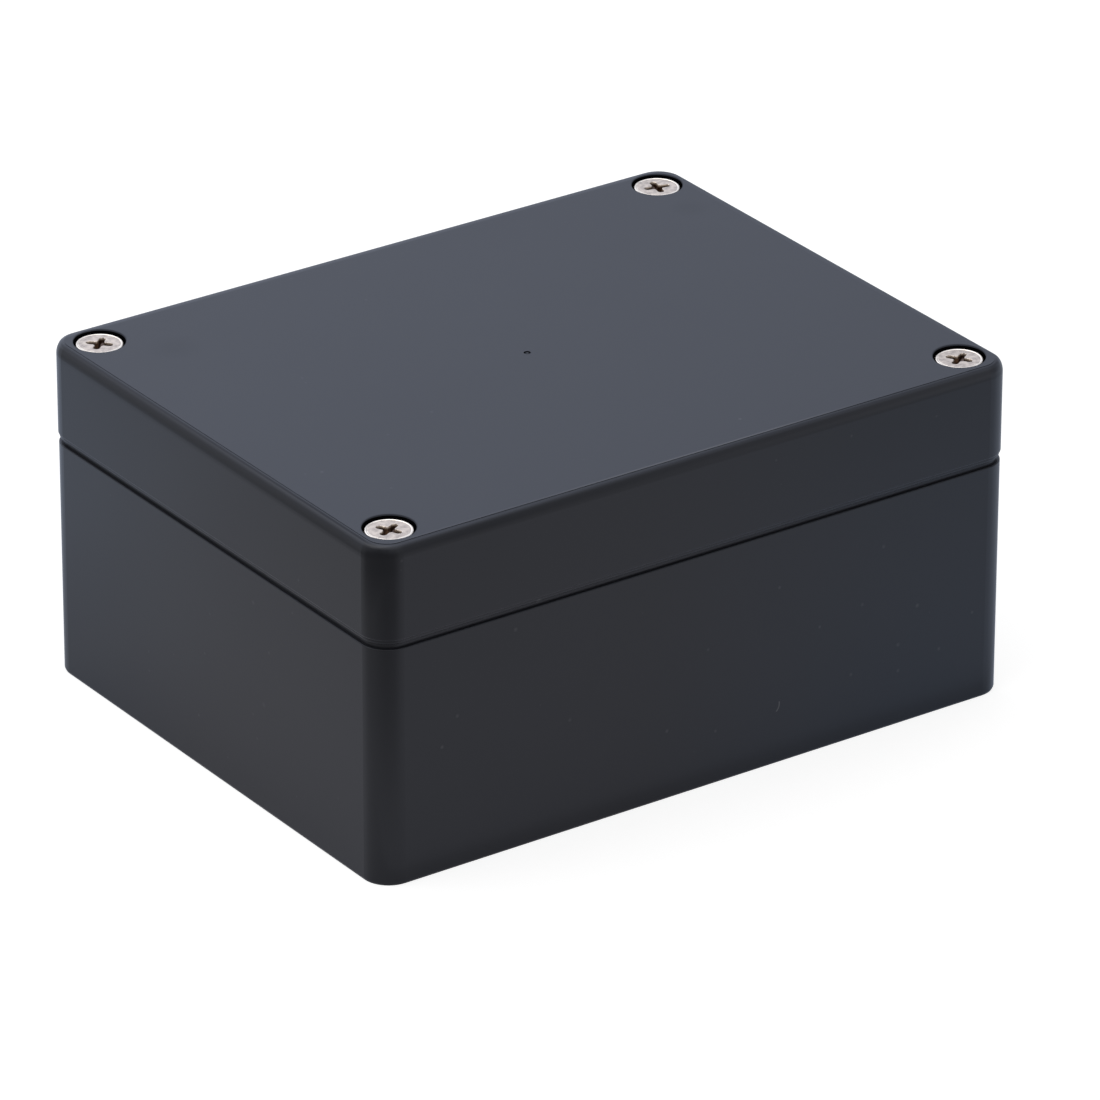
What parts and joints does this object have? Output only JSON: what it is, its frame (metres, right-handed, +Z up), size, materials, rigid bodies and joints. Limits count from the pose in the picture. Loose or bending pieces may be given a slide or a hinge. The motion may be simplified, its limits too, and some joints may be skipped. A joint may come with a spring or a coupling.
{
  "type": "plastic project box",
  "caption": "Rectangular sealed plastic enclosure: deep base and shallower lid, joined by sunk screws outside a tongue-and-groove seal.",
  "frame": {"origin": "middle of the underside, on the surface that the box stands on", "axes": "+X along the length of the box, +Y along its width towards the back, +Z up through the lid"},
  "size_m": [0.115, 0.09, 0.055],
  "materials": {
    "abs_base": "dark charcoal ABS, fine satin mould finish",
    "abs_lid": "dark charcoal ABS, fine satin mould finish",
    "seal_rubber": "dull soft rubber",
    "brass": "turned brass",
    "screw_steel": "warm nickel-plated steel, tumbled"
  },
  "bodies": {
    "base": {"base": "abs_base", "insert_front_left": "brass", "insert_front_right": "brass", "insert_back_left": "brass", "insert_back_right": "brass"},
    "lid": {"lid": "abs_lid", "gasket": "seal_rubber"},
    "screw_front_left": {"screw_front_left": "screw_steel"},
    "screw_front_right": {"screw_front_right": "screw_steel"},
    "screw_back_left": {"screw_back_left": "screw_steel"},
    "screw_back_right": {"screw_back_right": "screw_steel"}
  },
  "joints": [
    {"name": "lid_lift", "type": "slide", "parent": "base", "child": "lid", "axis": [0, 0, 1], "range_m": [0, 0.06]},
    {"name": "screw_front_left_out", "type": "slide", "parent": "lid", "child": "screw_front_left", "axis": [0, 0, 1], "range_m": [0, 0.025]},
    {"name": "screw_front_right_out", "type": "slide", "parent": "lid", "child": "screw_front_right", "axis": [0, 0, 1], "range_m": [0, 0.025]},
    {"name": "screw_back_left_out", "type": "slide", "parent": "lid", "child": "screw_back_left", "axis": [0, 0, 1], "range_m": [0, 0.025]},
    {"name": "screw_back_right_out", "type": "slide", "parent": "lid", "child": "screw_back_right", "axis": [0, 0, 1], "range_m": [0, 0.025]}
  ]
}
